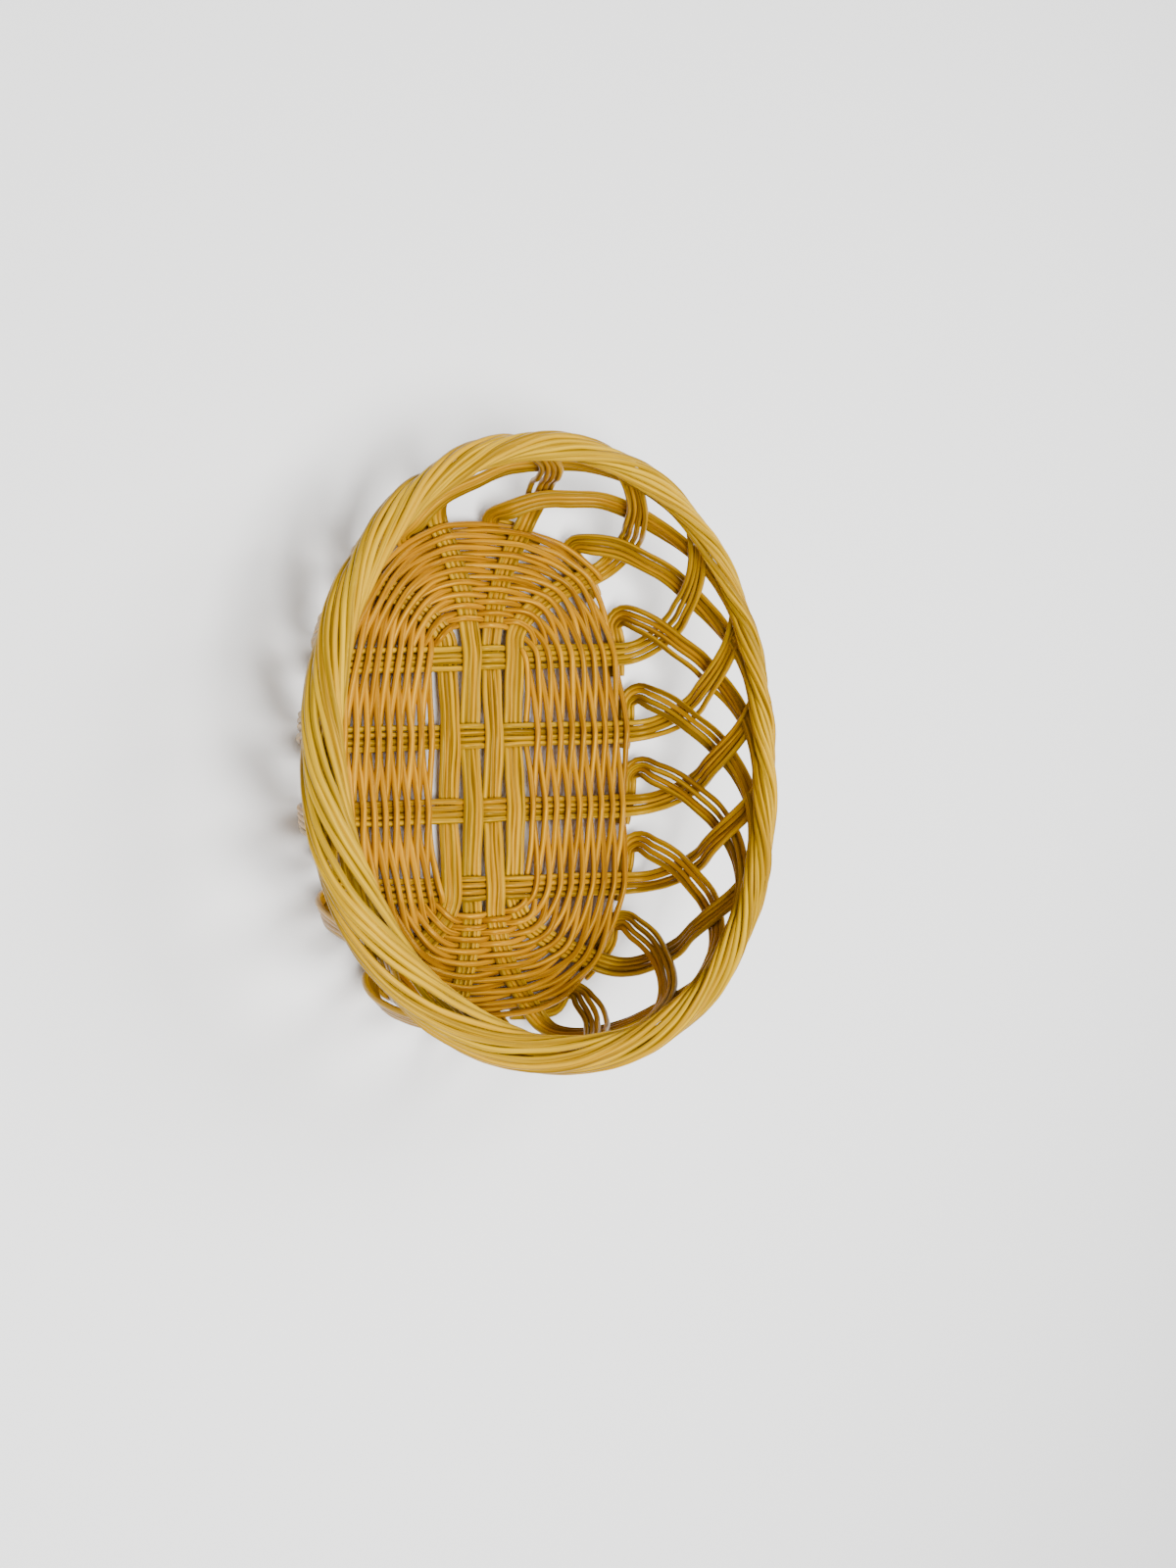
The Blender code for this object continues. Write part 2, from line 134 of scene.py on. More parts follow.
WEAVE_FLAT = 1.55                  # half the way that a weaver stays over a bundle, in spacings
WEAVE_KNOTS = ((-1.0, 0.9), (0.0, 1.03), (1.0, 0.9))    # its places there and their lifts
WEAVE_STEEP = 0.5                  # least sine of the angle between weaver and bundle
WEAVE_LONG = 12.0 * MM             # a longer way from over to under gets a middle key

# Rods
ROD = 1.43 * MM                    # radius of a frame rod
WEAVER = 1.5 * MM                  # radius of a weaver
SPACING = 2.66 * MM                # between the rods of a bundle on the wall
CROSS_SPACING = 2.98 * MM
CROSS_LOOSE = 1.2                  # how much more the rods wander on the floor
LONG_SPACING = 2.5 * MM
LONG_LOOSE = 1.3
ON_GROUND = 1.05                   # radii from the ground to the middle line of a tail
CLEAR_OF_GROUND = 1.02             # and of any other rod, at least
LEAST_CURL = 1.0e-3                # a flat bundle counts as curled this little
SIDES = 12
STEP = 2.2 * MM                    # between two rings of a rod
BRIDGE_STEP = 4.5 * MM             # between the keys that join two runs
SMOOTHING = 5
STRAY = 2.2 * MM                   # most that an outer rod strays from its bundle
SLIT = 0.8 * MM                    # widest slit down the middle of a bundle
WAVES = (1.0, 0.55)                # sizes and lengths of the waves in a rod, as shares
WAVE_STRETCH = (0.8, 1.25)
WAVE_SHARE = 1.2
ROD_WANDER = (0.17 * MM, 50.0 * MM)      # size and length of a wave
ROD_LIFT = (0.1 * MM, 45.0 * MM)
WEAVER_WANDER = (0.18 * MM, 55.0 * MM)
WEAVER_LIFT = (0.12 * MM, 38.0 * MM)
SWELL = ((0.03, 190.0), (0.02, 611.0))   # share of the radius, and waves
END_TAPER = 0.72
WEAVER_TINT = (0.3, 0.7)
SHARP = radians(50)                # edges over this angle are shaded sharp

# Rope, with a corner where its strands lie loose and the wall bulges
CORNER_AT = 8.8                    # in pitches, as u
CORNER_SPAN = 1.7
CORNER_OUT = 2.6 * MM
CORNER_THICK = 2.2 * MM
CORNER_BULGE = 3.5 * MM
ROPE_IN_AT = 0.05                  # pitches past a riser's top where its strand enters
ROPE_OUT_AT = 0.1                  # pitches before a return's top where its strand leaves
ROPE_BASE = -0.85 * MM             # the rope's radius is this much, and
ROPE_PER_STRAND = 1.8 * MM         # this much for each strand in it
ROPE_CROWN = (-0.85 * MM, 0.25 * MM, 0.45 * MM, -0.6 * MM)    # lift of each rod
ROPE_RADIUS = 5.0 * MM             # at which a rod's crown is full
ROPE_FROM = radians(-125)
ROPE_TURN = radians(308)
ROPE_HASTE = 0.055                 # faster over the top than below
ROPE_COVER = 0.6 * MM              # new strands lie this much further out, old ones further in
ROPE_TRIM = 0.15                   # share of a strand's turn that blends into the wall
ROPE_CROWD = 1.04                  # widest spacing of rods in the rope, in shares of the room
ROPE_KEYS = 7                      # in a pitch
SEARCH_BACK = 3.0                  # pitches in which a place's strands are looked for
SEARCH_ENTRY = 6.0
SEARCH_EXIT = 9.0

# Colours and surface: noise scales are across, across and along a rod, then comes the detail
FIBRES = ((1500, 1500, 26), 4.0)
STREAKS = ((620, 620, 9), 3.0)
PATCHES = ((140, 140, 28), 2.0)
MARKS = ((900, 900, 160), 2.0)
DARK_SHARE = 0.8
DULL_PATCH = (0.86, 0.80, 0.70)
PALE_MARK = (0.62, 0.40, 0.03)
SHINE_TINT = (1.0, 0.72, 0.16)
GLOSS_RANGE = 0.14
BUMP_STRENGTH = 0.355
BUMP_DEPTH = 0.3 * MM

# Studio
GROUND_SIZE = 6.0
GROUND_COLOUR = (0.92, 0.92, 0.915)
GROUND_ROUGH = 0.7
WORLD_COLOUR = (1.0, 0.99, 0.97)
WORLD_STRENGTH = 0.3
LAMP_AIM = (0.0, 0.0, 0.03)
LAMPS = (("key", (0.35, -0.15, 1.4), 0.7, 44.0),
         ("fill", (-0.5, 0.8, 1.2), 0.8, 22.0))    # name, place, size, power
CAMERA_LENS = 28.2375
CAMERA_SENSOR = 36.0
CAMERA_NEAR = 0.01
CAMERA_AZIMUTH = radians(0.9)
CAMERA_ELEVATION = radians(56.3)
CAMERA_ROLL = radians(88.7)
CAMERA_AIM = Vector((13.9 * MM, 58.35 * MM, 7.0 * MM))
CAMERA_AWAY = 620.0 * MM

rng = np.random.default_rng(11)


def smooth(t):
    t = min(1.0, max(0.0, t))
    return t * t * (3.0 - 2.0 * t)


# ---------------------------------------------------------------- plan of the basket

def oval_point(half_x, half_y, powers, pear, angle):
    c, s = -cos(angle), sin(angle)
    power = powers[0] if s >= 0.0 else powers[1]
    scale = (abs(c / half_x) ** power + abs(s / half_y) ** power) ** (-1.0 / power)
    scale *= 1.0 + pear * sin(3.0 * angle)
    return Vector((c * scale, s * scale, 0.0))


def oval_table(half_x, half_y, powers, pear=0.0, steps=720):
    points = [oval_point(half_x, half_y, powers, pear, 2.0 * pi * i / steps)
              for i in range(steps + 1)]
    run = [0.0]
    for a, b in zip(points, points[1:]):
        run.append(run[-1] + (b - a).length)
    return points, np.array(run) / run[-1]


def at_share(table, share):
    points, shares = table
    share %= 1.0
    low = min(len(shares) - 2, int(np.searchsorted(shares, share, side="right")) - 1)
    t = (share - shares[low]) / (shares[low + 1] - shares[low])
    return points[low].lerp(points[low + 1], t)


FLOOR_TABLE = oval_table(FLOOR_X, FLOOR_Y, (FLOOR_POWER, FLOOR_POWER_NEAR))
RIM_TABLE = oval_table(RIM_X, RIM_Y, (RIM_POWER, RIM_POWER), RIM_PEAR)


def stake_share(u, spread):
    x = (u + 1.5) / STAKES
    return x + STAKE_CROWD * sin(4.0 * pi * x) - spread * cos(2.0 * pi * x)


def floor_edge(u):
    point = at_share(FLOOR_TABLE, stake_share(u, STAKE_SPREAD))
    return point + Vector((*FLOOR_CENTRE, FLOOR_Z))


def rim_line(u):
    point = at_share(RIM_TABLE, stake_share(u, 0.0))
    out = Vector((point.x / RIM_X, point.y / RIM_Y, 0.0)).normalized() * CORNER_OUT * corner(u)
    return point + out + Vector((*RIM_CENTRE, RIM_Z + RIM_TILT * point.x / RIM_X))


def corner(u):
    """How far u is in the rim's loose corner: 1 at its middle."""
    away = (u - CORNER_AT + STAKES / 2) % STAKES - STAKES / 2
    return exp(-(away / CORNER_SPAN) ** 2)


def along(place, u, step=0.02):
    return (place(u + step) - place(u - step)).normalized()


def outward(place, u):
    forward = along(place, u)
    return Vector((-forward.y, forward.x, 0.0)).normalized()


def wall_point(u, v):
    foot = floor_edge(u)
    top = rim_line(u) - UP * WALL_TOP_DROP
    bulge = WALL_BULGE + CORNER_BULGE * corner(u)
    waist = foot.lerp(top, 0.5) + outward(floor_edge, u) * bulge
    waist.z = foot.z + (top.z - foot.z) * WALL_WAIST
    return foot * (1 - v) ** 2 + waist * 2 * v * (1 - v) + top * v * v


def wall_normal(u, v):
    """Unit normal of the wall, towards the inside of the basket."""
    step = 0.02
    across = wall_point(u + step, v) - wall_point(u - step, v)
    up = wall_point(u, v + step) - wall_point(u, v - step)
    return across.cross(up).normalized()


def riser_u(stake, v):
    turn = 2.0 * pi * (stake - RISER_LEAN_PEAK) / STAKES
    return stake - (RISER_LEAN + RISER_LEAN_MORE * cos(turn)) * v * v


def return_u(foot, v):
    number = (foot - RETURN_FIRST_FOOT) % STAKES
    lean = RETURN_LEAN - RETURN_LEAN_STEP * min(number, STAKES - number)
    return foot + lean * (RETURN_LEAN_EVEN * v + (1.0 - RETURN_LEAN_EVEN) * v * v)


def bisect(low, high, before, halvings=30):
    """Where before(x) turns from true to false."""
    for _ in range(halvings):
        mid = (low + high) / 2
        if before(mid):
            low = mid
        else:
            high = mid
    return low


def meeting(stake, foot):
    """Height at which a riser and a return cross, a little above the wall at most."""
    return bisect(0.0, MEETING_TOP, lambda v: riser_u(stake, v) > return_u(foot, v))


def changes(crossings):
    """Heights at which a bundle changes its layer, given its three crossings."""
    first, second, third = crossings
    if second > RIM_CROSSING:
        return ()
    return ((first + second) / 2, (second + third) / 2)


def layer(v, swaps):
    """A riser's side of the wall at height v: -1 outside, 1 inside.  A return has the other."""
    side = -1.0
    for swap, step in zip(swaps, (2.0, -2.0)):
        side += step * smooth((v - swap + SWAP_HALF) / (2.0 * SWAP_HALF))
    return side


# ---------------------------------------------------------------- rope

def rope_entry(stake):
    return riser_u(stake, 1.0) - ROPE_IN_AT


def rope_exit(stake):
    return return_u(stake - FOOT_LAG, 1.0) + ROPE_OUT_AT


def strand_range(u):
    """The strands in the rope at u: the one that enters there and the one that leaves."""
    first = bisect(u - SEARCH_BACK, u + SEARCH_ENTRY, lambda k: rope_entry(k) < u)
    last = bisect(u - SEARCH_BACK, u + SEARCH_EXIT, lambda k: rope_exit(k) < u)
    return first, last


def rope_state(stake, u):
    """A strand's share of its way round the rope at u, and the strands there."""
    first, last = strand_range(u)
    return (stake - first) / (last - first), last - first


# ---------------------------------------------------------------- keys of a bundle's path

Key = namedtuple("Key", "piece point face spacing curl gap loose")


class Keys:
    """Points of a bundle's middle line.

    Each has the piece it is in, the way its flat side faces, the spacing of its rods, the curl
    of the bundle round the rope, how far its slits are open and how much its rods wander.
    """

    def __init__(self):
        self.rows = []

    def add(self, piece, point, face, spacing=SPACING, curl=0.0, gap=0.0, loose=1.0):
        self.rows.append(Key(piece, point, face.normalized(), spacing, curl, gap, loose))


def riser_keys(stake):
    keys = Keys()
    swaps = changes([meeting(stake, stake - 0.5 - i) for i in range(3)])
    name = f"riser_{(stake - 1) % STAKES + 1:02d}"
    for i in range(WALL_KEYS):
        v = RISER_FROM + (RISER_TO - RISER_FROM) * i / (WALL_KEYS - 1)
        u = riser_u(stake, v)
        normal = wall_normal(u, v)
        belly = RISER_BELLY * sin(pi * min(1.0, v / RISER_BELLY_TOP))
        lift = LAYER * layer(v, swaps) - belly
        keys.add(name, wall_point(u, v) + normal * lift, normal * -1.0,
                 gap=sin(pi * min(1.0, v / RISER_SLIT_TOP)))
    return keys


def rope_keys(stake):
    keys = Keys()
    name = f"rim_strand_{(stake - 1) % STAKES + 1:02d}"
    start, end = rope_entry(stake), rope_exit(stake)
    count = round((start - end) * ROPE_KEYS)
    for i in range(count + 1):
        u = start + (end - start) * (ROPE_TRIM + (1.0 - 2.0 * ROPE_TRIM) * i / count)
        share, strands = rope_state(stake, u)
        angle = ROPE_FROM - ROPE_TURN * (share - ROPE_HASTE * sin(2.0 * pi * share))
        radius = ROPE_BASE + ROPE_PER_STRAND * strands + CORNER_THICK * corner(u)
        place = radius + ROPE_COVER * (1.0 - 2.0 * share)
        inner = outward(rim_line, u) * -1.0
        up = along(rim_line, u).cross(inner).normalized()
        if up.z < 0.0:
            up.negate()
        radial = inner * cos(angle) + up * sin(angle)
        room = radius * ROPE_TURN / strands / RODS
        keys.add(name, rim_line(u) + radial * place, radial, min(SPACING, room * ROPE_CROWD),
                 1.0 / radius)
    return keys


def return_keys(stake):
    keys = Keys()
    foot = stake - FOOT_LAG
    name = f"return_{(stake - 1) % STAKES + 1:02d}"
    swaps = changes([meeting(foot + 0.5 + i, foot) for i in range(3)])
    for i in range(WALL_KEYS):
        v = RETURN_FROM + (RETURN_TO - RETURN_FROM) * i / (WALL_KEYS - 1)
        u = return_u(foot, v)
        normal = wall_normal(u, v)
        tuck = RETURN_TUCK * smooth((RETURN_TUCK_BELOW - v) / RETURN_TUCK_BLEND)
        lift = LAYER * layer(v, swaps) - tuck
        fan = 1.0 + RETURN_FAN * smooth((RETURN_FAN_BELOW - v) / RETURN_FAN_BLEND)
        keys.add(name, wall_point(u, v) - normal * lift, normal, SPACING * fan,
                 gap=sin(pi * min(1.0, RETURN_SLIT_TOP - v)))
    hairpin(keys, name, foot)
    return keys


def hairpin(keys, name, foot):
    """The turn back at a return's foot, and the tail that runs under the floor's edge."""
    u = return_u(foot, RETURN_TO)
    inward = wall_normal(u, RETURN_TO)
    ahead = along(floor_edge, u)
    middle = keys.rows[-1].point + ahead * TURN_RADIUS * TURN_AHEAD
    middle.z = TURN_UP
    out = outward(floor_edge, u)
    for degrees, inset, twist in TURN_KEYS:
        angle = radians(degrees)
        point = middle + (ahead * cos(angle) + UP * sin(angle)) * TURN_RADIUS - out * inset
        point.z = max(point.z, ROD * ON_GROUND)
        keys.add(name, point, inward.lerp(UP, twist), SPACING * (TURN_SPREAD - TURN_CLOSE * twist))
    for i in range(TAIL_STEPS + 1):
        at = foot + TAIL_FROM + (TAIL_TO - TAIL_FROM) * i / TAIL_STEPS
        offset = TAIL_OUT - TAIL_INWARD * smooth(i / TAIL_STEPS)
        point = floor_edge(at) + outward(floor_edge, at) * offset
        point.z = ROD * ON_GROUND
        keys.add(name, point, UP, SPACING * TAIL_SPREAD)


def check_lift(places, signs):
    """Knots (place, lift) of a bundle through the check weave."""
    half = SPACING * RODS * CHECK_HALF
    knots = []
    for place, sign in zip(places, signs):
        for shift, lift in ((-half, CHECK_EDGE), (0.0, CHECK_MIDDLE), (half, CHECK_EDGE)):
            knots.append((place + shift, sign * LAYER * lift))
    return knots


def cross_x(row, y):
    near, far = floor_edge(12 - row), floor_edge(1 + row)
    return near.x + (far.x - near.x) * (y - near.y) / (far.y - near.y)


def column_y(column):
    return CHECK_CENTRE_Y + (column - 1.5) * LONG_PITCH


def cross_line(row):
    """Middle line of a cross bundle's floor run, from the near edge to the far edge."""
    near, far = floor_edge(12 - row), floor_edge(1 + row)
    signs = [1 if (row + column) % 2 == 0 else -1 for column in range(4)]
    knots = check_lift([column_y(column) for column in range(4)], signs)
    middle = [Vector((cross_x(row, y), y, FLOOR_Z + lift)) for y, lift in knots]
    ends = []
    for end, last in ((near, middle[0]), (far, middle[-1])):
        start = last + (end - last).normalized() * CROSS_OUT
        start.z = FLOOR_Z
        ends.append([start.lerp(end, t) for t in CROSS_SHARES])
    return ends[0][::-1] + middle + ends[1]


def fan_line(start, end):
    """A bend from the check weave's end to a place on the floor's edge."""
    knee = Vector((start.x + (end.x - start.x) * FAN_KNEE, start.y, FLOOR_Z))
    line = []
    for t in FAN_SHARES:
        line.append(start * (1 - t) ** 2 + knee * 2 * t * (1 - t) + end * t * t)
        line[-1].z = FLOOR_Z
    return line


def long_line(column):
    """Middle line of a long bundle's floor run, from the -X edge to the +X edge."""
    y = column_y(column)
    signs = [-1 if (row + column) % 2 == 0 else 1 for row in range(4)]
    places = [cross_x(row, y) for row in range(4)]
    knots = check_lift(places, signs)
    middle = [Vector((x, y, FLOOR_Z + lift)) for x, lift in knots]
    return (fan_line(middle[0], floor_edge(-3 + column))[::-1] + middle
            + fan_line(middle[-1], floor_edge(8 - column)))


# ---------------------------------------------------------------- from keys to rods

def bridge(before, after):
    """Keys that lead smoothly from the end of one run to the start of the next."""
    start, end = before[-1], after[0]
    reach = (end.point - start.point).length
    leave = (start.point - before[-2].point).normalized() * reach
    arrive = (after[1].point - end.point).normalized() * reach
    count = int(reach / BRIDGE_STEP)
    rows = []
    for i in range(1, count + 1):
        t = i / (count + 1)
        point = (start.point * (1 - t) ** 2 * (1 + 2 * t) + leave * t * (1 - t) ** 2
                 + end.point * t * t * (3 - 2 * t) - arrive * t * t * (1 - t))
        rest = [a + (b - a) * t for a, b in zip(start[3:], end[3:])]
        name = start.piece if t < 0.5 else end.piece
        rows.append(Key(name, point, start.face.lerp(end.face, t), *rest))
    return rows


def joined(runs):
    """All the keys of a bundle's path, with its runs bridged."""
    path = runs[0]
    for run in runs[1:]:
        path = path + bridge(path, run) + run
    return path


def dense(rows):
    """A smooth path through the keys (Catmull-Rom), with rings STEP apart."""
    points = np.array([list(row.point) for row in rows])
    extra = np.array([list(row.face) + list(row[3:]) for row in rows])
    padded = np.vstack([2 * points[0] - points[1], points, 2 * points[-1] - points[-2]])
    out, more, piece = [], [], []
    for i in range(len(points) - 1):
        a, b, c, d = padded[i:i + 4]
        count = max(1, int(round(np.linalg.norm(c - b) / (STEP * 0.5))))
        for t in np.arange(count) / count:
            out.append(0.5 * (2 * b + (c - a) * t + (2 * a - 5 * b + 4 * c - d) * t * t
                              + (3 * b - a - 3 * c + d) * t ** 3))
            more.append(extra[i] * (1 - t) + extra[i + 1] * t)
            piece.append(rows[i].piece)
    out.append(points[-1])
    more.append(extra[-1])
    piece.append(rows[-1].piece)
    out, more = np.array(out), np.array(more)
    for _ in range(SMOOTHING):
        out[1:-1] = (out[:-2] + 2 * out[1:-1] + out[2:]) / 4
        more[1:-1] = (more[:-2] + 2 * more[1:-1] + more[2:]) / 4
    return out[::2], more[::2], piece[::2]


def unit(rows):
    return rows / np.maximum(np.linalg.norm(rows, axis=1, keepdims=True), 1e-12)


def tangents(points):
    return unit(np.gradient(points, axis=0))


def wander(run, size, length):
    """A smooth random wave along a rod."""
    wave = np.zeros(len(run))
    for part in WAVES:
        phase = rng.uniform(0, 2 * pi)
        stretch = length * part * rng.uniform(*WAVE_STRETCH)
        wave += part * np.sin(2 * pi * run / stretch + phase)
    return wave * size / WAVE_SHARE


def run_of(points):
    """The way along a path up to each of its points."""
    steps = np.linalg.norm(np.diff(points, axis=0), axis=1)
    return np.concatenate([[0.0], np.cumsum(steps)])


def bundle_rods(rows):
    """The four rods of a bundle: their middle lines, and the piece that each ring is in."""
    points, extra, piece = dense(rows)
    tangent = tangents(points)
    face = extra[:, :3]
    side = unit(np.cross(face, tangent))
    face = unit(np.cross(tangent, side))
    spacing, curl, gap, loose = extra[:, 3:].T
    run = run_of(points)
    rods = []
    stray = rng.choice([-1, 1]) * rng.uniform(0.0, STRAY)
    slit = rng.uniform(0.0, SLIT)
    bend = np.maximum(curl, LEAST_CURL)
    for i in range(RODS):
        offset = (i - (RODS - 1) / 2) * spacing + wander(run, *ROD_WANDER) * loose
        if (i == 0 and stray < 0) or (i == RODS - 1 and stray > 0):
            offset += stray * gap ** 2
        offset += slit * gap ** 2 * (1 if i >= RODS // 2 else -1)
        lateral = np.sin(offset * bend) / bend
        crown = ROPE_CROWN[i] * np.minimum(1.0, curl * ROPE_RADIUS)
        lift = (np.cos(offset * bend) - 1.0) / bend + crown + wander(run, *ROD_LIFT)
        line = points + side * lateral[:, None] + face * lift[:, None]
        line[:, 2] = np.maximum(line[:, 2], ROD * CLEAR_OF_GROUND)
        rods.append(line)
    return rods, run - run.mean(), piece


def rod_frames(points):
    """Two unit vectors across a rod, turned as little as possible along it."""
    tangent = tangents(points)
    first = np.zeros_like(points)
    start = np.array([0.0, 0.0, 1.0]) if abs(tangent[0][2]) < 0.8 else np.array([1.0, 0.0, 0.0])
    first[0] = start - tangent[0] * (start @ tangent[0])
    first[0] /= np.linalg.norm(first[0])
    for i in range(1, len(points)):
        v = first[i - 1] - tangent[i] * (first[i - 1] @ tangent[i])
        first[i] = v / np.linalg.norm(v)
    return first, np.cross(tangent, first)


class Piece:
    """One mesh made of rods."""

    def __init__(self):
        self.verts, self.grain, self.tint, self.faces = [], [], [], []
        self.count = 0

    def add_rod(self, points, frames, run, radius, tint, seed, free=(False, False)):
        """A rod along points; a free end is rounded off, and another is cut square."""
        first, second = frames
        swell = sum(size * np.sin(run * waves + count * seed)
                    for count, (size, waves) in enumerate(SWELL, 1))
        radii = radius * (1.0 + swell)
        for end in (0, -1):
            if free[end]:
                radii[end] *= END_TAPER
        angle = 2 * pi * np.arange(SIDES) / SIDES
        c, s = np.cos(angle), np.sin(angle)
        ring = c[None, :, None] * first[:, None, :] + s[None, :, None] * second[:, None, :]
        verts = points[:, None, :] + ring * radii[:, None, None]
        n = len(points)
        grain = np.empty((n, SIDES, 3))
        grain[:, :, 0] = c * radius + seed
        grain[:, :, 1] = s * radius
        grain[:, :, 2] = run[:, None]
        start = self.count
        rings = start + np.arange(n - 1)[:, None] * SIDES
        base = rings + np.arange(SIDES)[None, :]
        right = rings + (np.arange(SIDES)[None, :] + 1) % SIDES
        quads = np.stack([base, right, right + SIDES, base + SIDES], axis=-1).reshape(-1, 4)
        self.faces += quads.tolist()
        self.faces.append(list(range(start + SIDES - 1, start - 1, -1)))
        last = start + (n - 1) * SIDES
        self.faces.append(list(range(last, last + SIDES)))
        self.verts.append(verts.reshape(-1, 3))
        self.grain.append(grain.reshape(-1, 3))
        self.tint.append(np.full(n * SIDES, tint))
        self.count += n * SIDES

    def build(self, name, material):
        mesh = bpy.data.meshes.new(name)
        mesh.from_pydata(np.vstack(self.verts).tolist(), [], self.faces)
        grain = mesh.attributes.new("grain", "FLOAT_VECTOR", "POINT")
        grain.data.foreach_set("vector", np.vstack(self.grain).astype(np.float32).ravel())
        tint = mesh.attributes.new("tint", "FLOAT", "POINT")
        tint.data.foreach_set("value", np.concatenate(self.tint).astype(np.float32))
        mesh.materials.append(material)
        mesh.shade_smooth()
        mesh.set_sharp_from_angle(angle=SHARP)
        thing = bpy.data.objects.new(name, mesh)
        bpy.context.scene.collection.objects.link(thing)
        return thing


def put(thing, node):
    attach(thing, "root")
    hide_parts(node)


def floor_keys(name, line, spacing, loose):
    keys = Keys()
    for point in line:
        keys.add(name, point, UP * -1.0, spacing, loose=loose)
    return keys


def bundle(floor, stakes, materials):
    """The pieces of one bundle, from the end of one tail to the end of the other."""
    start, end = stakes
    runs = [keys.rows[::-1] for keys in (return_keys(start), rope_keys(start), riser_keys(start))]
    runs.append(floor.rows)
    runs += [keys.rows for keys in (riser_keys(end), rope_keys(end), return_keys(end))]
    rods, run, piece = bundle_rods(joined(runs))
    last = len(piece) - 1
    pieces = {}
    for rod in rods:
        frames = rod_frames(rod)
        tint = rng.uniform(0.0, 1.0)
        seed = rng.uniform(0.0, 10.0)
        for name in dict.fromkeys(piece):
            held = [i for i, p in enumerate(piece) if p == name]
            low, high = held[0], min(last, held[-1] + 1)
            cut = slice(low, high + 1)
            made = pieces.setdefault(name, Piece())
            made.add_rod(rod[cut], (frames[0][cut], frames[1][cut]), run[cut], ROD,
                         tint, seed, (low == 0, high == last))
    for name, made in pieces.items():
        # The rim's rods take the copy painted lighter as lit, the rest take the copy painted darker
        # as shade.
        kind = "rim_reed" if name.startswith("rim") else "frame_reed"
        put(made.build("rods_of_" + name, materials[kind]), name)


# ---------------------------------------------------------------- weavers

def round_shape(q):
    """Centre, half sizes and powers of the weavers' oval, from the first turn to the last."""
    edge = WEAVER + WEAVE_EDGE_GAP
    start = Vector((FLOOR_CENTRE[0], WEAVE_IN_CENTRE_Y, FLOOR_Z))
    return (start.lerp(Vector((*FLOOR_CENTRE, FLOOR_Z)), q),
            WEAVE_IN_X + (FLOOR_X - edge - WEAVE_IN_X) * q,
            WEAVE_IN_Y + (FLOOR_Y - edge - WEAVE_IN_Y) * q,
            [1.0 / ((1.0 - q) / WEAVE_IN_POWER + q / power)
             for power in (FLOOR_POWER, FLOOR_POWER_NEAR)])


def outside_round(point, q):
    """1 on the oval, more outside it and less inside."""
    centre, half_x, half_y, powers = round_shape(q)
    x = abs(point.x - centre.x) / half_x
    y = abs(point.y - centre.y) / half_y
    power = powers[0] if point.y >= centre.y else powers[1]
    return (x ** power + y ** power) ** (1.0 / power)


def stake_line(stake):
    """A stake's floor bundle as a line from the middle of the floor to its edge."""
    if 1 <= stake <= 4:
        line, end = cross_line(stake - 1), 1
    elif 5 <= stake <= 8:
        line, end = long_line(8 - stake), 1
    elif 9 <= stake <= 12:
        line, end = cross_line(12 - stake), -1
    else:
        line, end = long_line(stake - 13), -1
    half = line[len(line) // 2:] if end == 1 else line[:len(line) // 2 + 1][::-1]
    edge = floor_edge(stake)
    return half + [edge + (edge - half[-1]).normalized() * MM]


STAKE_LINES = [stake_line(stake) for stake in range(1, STAKES + 1)]


def crossing(line, q):
    """Where a stake's line crosses the oval, and which way it heads there."""
    for a, b in zip(line, line[1:]):
        ra, rb = outside_round(a, q), outside_round(b, q)
        if ra <= 1.0 < rb:
            return a.lerp(b, (1.0 - ra) / (rb - ra)), (b - a).normalized()
    return line[-1].copy(), (line[-1] - line[-2]).normalized()


def on_round(point, q):
    centre = round_shape(q)[0]
    flat = Vector((point.x, point.y, FLOOR_Z))
    return centre + (flat - centre) / outside_round(flat, q)


def round_heading(place, q, step=0.5 * MM):
    slope_x = outside_round(place + Vector((step, 0, 0)), q) - outside_round(place, q)
    slope_y = outside_round(place + Vector((0, step, 0)), q) - outside_round(place, q)
    return Vector((slope_y, -slope_x, 0.0)).normalized()


def weaver_keys(late, first_sign):
    """Points of a weaver, over one bundle and under the next."""
    knots = []
    for step in range(WEAVER_TURNS * STAKES):
        q = (step / STAKES + late) / (WEAVER_TURNS + 0.5)
        place, heading = crossing(STAKE_LINES[step % STAKES], q)
        ahead = round_heading(place, q)
        half = SPACING * WEAVE_FLAT / max(WEAVE_STEEP, abs(ahead.cross(heading).z))
        sign = first_sign * (-1) ** step
        for shift, lift in WEAVE_KNOTS:
            point = on_round(place + ahead * half * shift, q)
            knots.append((point + UP * WEAVE_LIFT * lift * sign, q))
    points = [knots[0][0]]
    for (a, qa), (b, qb) in zip(knots, knots[1:]):
        if abs(a.z - b.z) > WEAVE_LIFT and (a - b).length > WEAVE_LONG:
            points.append(on_round(a.lerp(b, 0.5), (qa + qb) / 2))
        points.append(b)
    return points


def weaver(name, late, first_sign, material):
    keys = Keys()
    for point in weaver_keys(late, first_sign):
        keys.add(name, point, UP)
    points, _, _ = dense(keys.rows)
    run = run_of(points)
    side = unit(np.cross(tangents(points), np.array([0.0, 0.0, 1.0])))
    points = points + side * wander(run, *WEAVER_WANDER)[:, None]
    points[:, 2] += wander(run, *WEAVER_LIFT)
    points[:, 2] = np.maximum(points[:, 2], WEAVER * ON_GROUND)
    tint = rng.uniform(*WEAVER_TINT)
    seed = rng.uniform(0.0, 10.0)
    piece = Piece()
    piece.add_rod(points, rod_frames(points), run, WEAVER, tint, seed, (True, True))
    put(piece.build("rod_of_" + name, material), name)


# ---------------------------------------------------------------- materials

def link(tree, a, b):
    tree.links.new(a, b)


